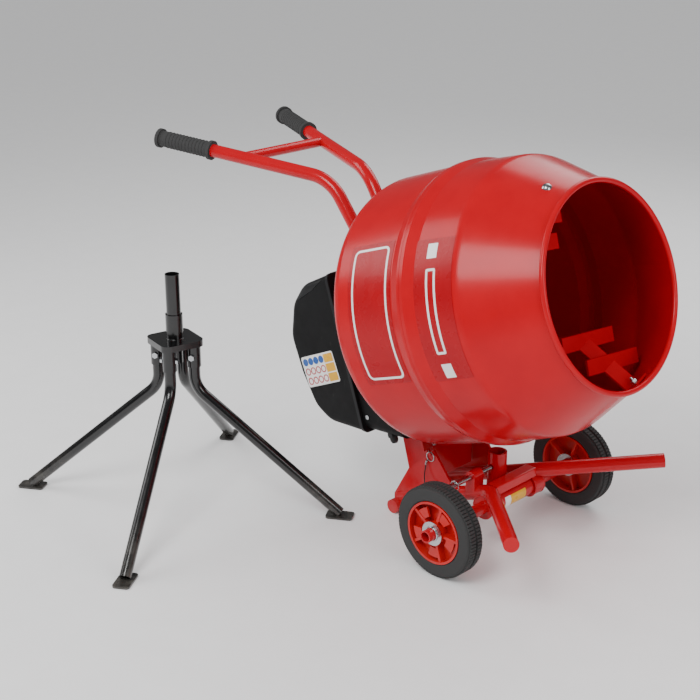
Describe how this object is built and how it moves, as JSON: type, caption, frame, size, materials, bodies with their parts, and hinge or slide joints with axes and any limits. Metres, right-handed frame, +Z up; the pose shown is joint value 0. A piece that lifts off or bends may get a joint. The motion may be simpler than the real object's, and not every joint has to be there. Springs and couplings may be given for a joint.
{
  "type": "concrete mixer",
  "caption": "Wheeled electric concrete mixer: tilted steel drum with paddles, motor unit, wheelbarrow handles and tipping prongs, with its separate four-legged ground stand.",
  "frame": {"origin": "centre of the whole footprint, on the floor", "axes": "+X forward, the way the drum mouth faces; +Y to the left; +Z up"},
  "size_m": [1.2754, 1.045, 0.843],
  "materials": {
    "red_paint": "gloss paint",
    "hub_plastic": "moulded",
    "tyre_rubber": "moulded solid rubber",
    "grip_rubber": "ribbed rubber",
    "black_plastic": "fine grained",
    "zinc": "zinc plate",
    "bare_steel": "machined",
    "cast_metal": "cast",
    "black_paint": "gloss paint",
    "belt_rubber": "ribbed",
    "cord_jacket": "coated wire",
    "green_button": "moulded",
    "red_button": "moulded"
  },
  "bodies": {
    "chassis": {"frame_tube_right": "red_paint", "frame_tube_left": "red_paint", "foot_bar": "red_paint", "front_bar": "red_paint", "axle_lugs": "red_paint", "axle_tube": "red_paint", "axle_washers": "zinc", "axle_clips": "zinc", "gusset_plate_right": "red_paint", "gusset_plate_left": "red_paint", "bracket_leg_right": "red_paint", "bracket_leg_left": "red_paint", "back_plate": "red_paint", "bracket_bolts": "zinc", "pin_guide": "red_paint", "drive_casting": "cast_metal", "shaft_bearings": "bare_steel", "handle_tube_right": "red_paint", "handle_tube_left": "red_paint", "handle_crossbar": "red_paint", "grip_right": "grip_rubber", "grip_left": "grip_rubber", "motor_tray": "black_plastic", "motor_cover": "black_plastic", "cover_lid": "black_plastic", "cover_screws": "zinc", "motor_body": "cast_metal", "cable_gland": "black_plastic", "switch_body": "black_plastic", "lanyard_rings": "zinc", "lanyard": "cord_jacket", "drive_belt": "belt_rubber"},
    "drum": {"drum_rear_shell": "red_paint", "drum_front_cone": "red_paint", "drum_shaft": "bare_steel", "drum_gear": "bare_steel", "paddle_lower": "red_paint", "paddle_upper": "red_paint", "drum_bolts": "zinc"},
    "layshaft_drive": {"layshaft": "bare_steel", "large_pulley": "bare_steel"},
    "motor_rotor": {"rotor_shaft": "bare_steel", "small_pulley": "bare_steel", "cooling_fan": "black_plastic"},
    "wheel_right": {"tyre_right": "tyre_rubber", "wheel_hub_right": "hub_plastic"},
    "wheel_left": {"tyre_left": "tyre_rubber", "wheel_hub_left": "hub_plastic"},
    "tilting_head": {"pivot_sleeve": "red_paint", "socket_tube": "red_paint"},
    "lock_pin": {"locking_pin": "zinc"},
    "start_switch": {"start_button": "green_button"},
    "stop_switch": {"stop_button": "red_button"},
    "ground_stand": {"stand_post": "black_paint", "stand_bracket": "black_paint", "stand_leg_1": "black_paint", "stand_leg_2": "black_paint", "stand_leg_3": "black_paint", "stand_leg_4": "black_paint", "stand_bolts": "zinc"}
  },
  "joints": [
    {"name": "drum_spin", "type": "hinge", "parent": "chassis", "child": "drum", "pos_m": [0.30285, 0.22296, 0.5328], "axis": [0.9444, 0, 0.3289], "continuous": true},
    {"name": "layshaft_spin", "type": "hinge", "parent": "chassis", "child": "layshaft_drive", "pos_m": [0.03016, 0.22296, 0.34889], "axis": [0.9444, 0, 0.3289], "continuous": true},
    {"name": "rotor_spin", "type": "hinge", "parent": "chassis", "child": "motor_rotor", "pos_m": [-0.06077, 0.31096, 0.385], "axis": [0.9444, 0, 0.3289], "continuous": true},
    {"name": "wheel_right_spin", "type": "hinge", "parent": "chassis", "child": "wheel_right", "pos_m": [0.34075, -0.02904, 0.1], "axis": [0, 1, 0], "continuous": true},
    {"name": "wheel_left_spin", "type": "hinge", "parent": "chassis", "child": "wheel_left", "pos_m": [0.34075, 0.47496, 0.1], "axis": [0, 1, 0], "continuous": true},
    {"name": "head_tilt", "type": "hinge", "parent": "chassis", "child": "tilting_head", "pos_m": [0.34075, 0.22296, 0.1], "axis": [0, -1, 0], "range_deg": [0, 90]},
    {"name": "pin_lock", "type": "slide", "parent": "chassis", "child": "lock_pin", "axis": [0, 1, 0], "range_m": [0, 0.042]},
    {"name": "start_press", "type": "slide", "parent": "chassis", "child": "start_switch", "axis": [0, -1, 0], "range_m": [0, 0.0025], "stiffness_N_per_m": 400},
    {"name": "stop_press", "type": "slide", "parent": "chassis", "child": "stop_switch", "axis": [0, -1, 0], "range_m": [0, 0.0025], "stiffness_N_per_m": 400},
    {"name": "stand_lift", "type": "slide", "parent": "chassis", "child": "ground_stand", "axis": [0, 0, 1], "range_m": [0, 0.3]}
  ],
  "couplings": [
    {"joint": "layshaft_spin", "follows": "drum_spin", "ratio": -7},
    {"joint": "rotor_spin", "follows": "drum_spin", "ratio": -49}
  ]
}
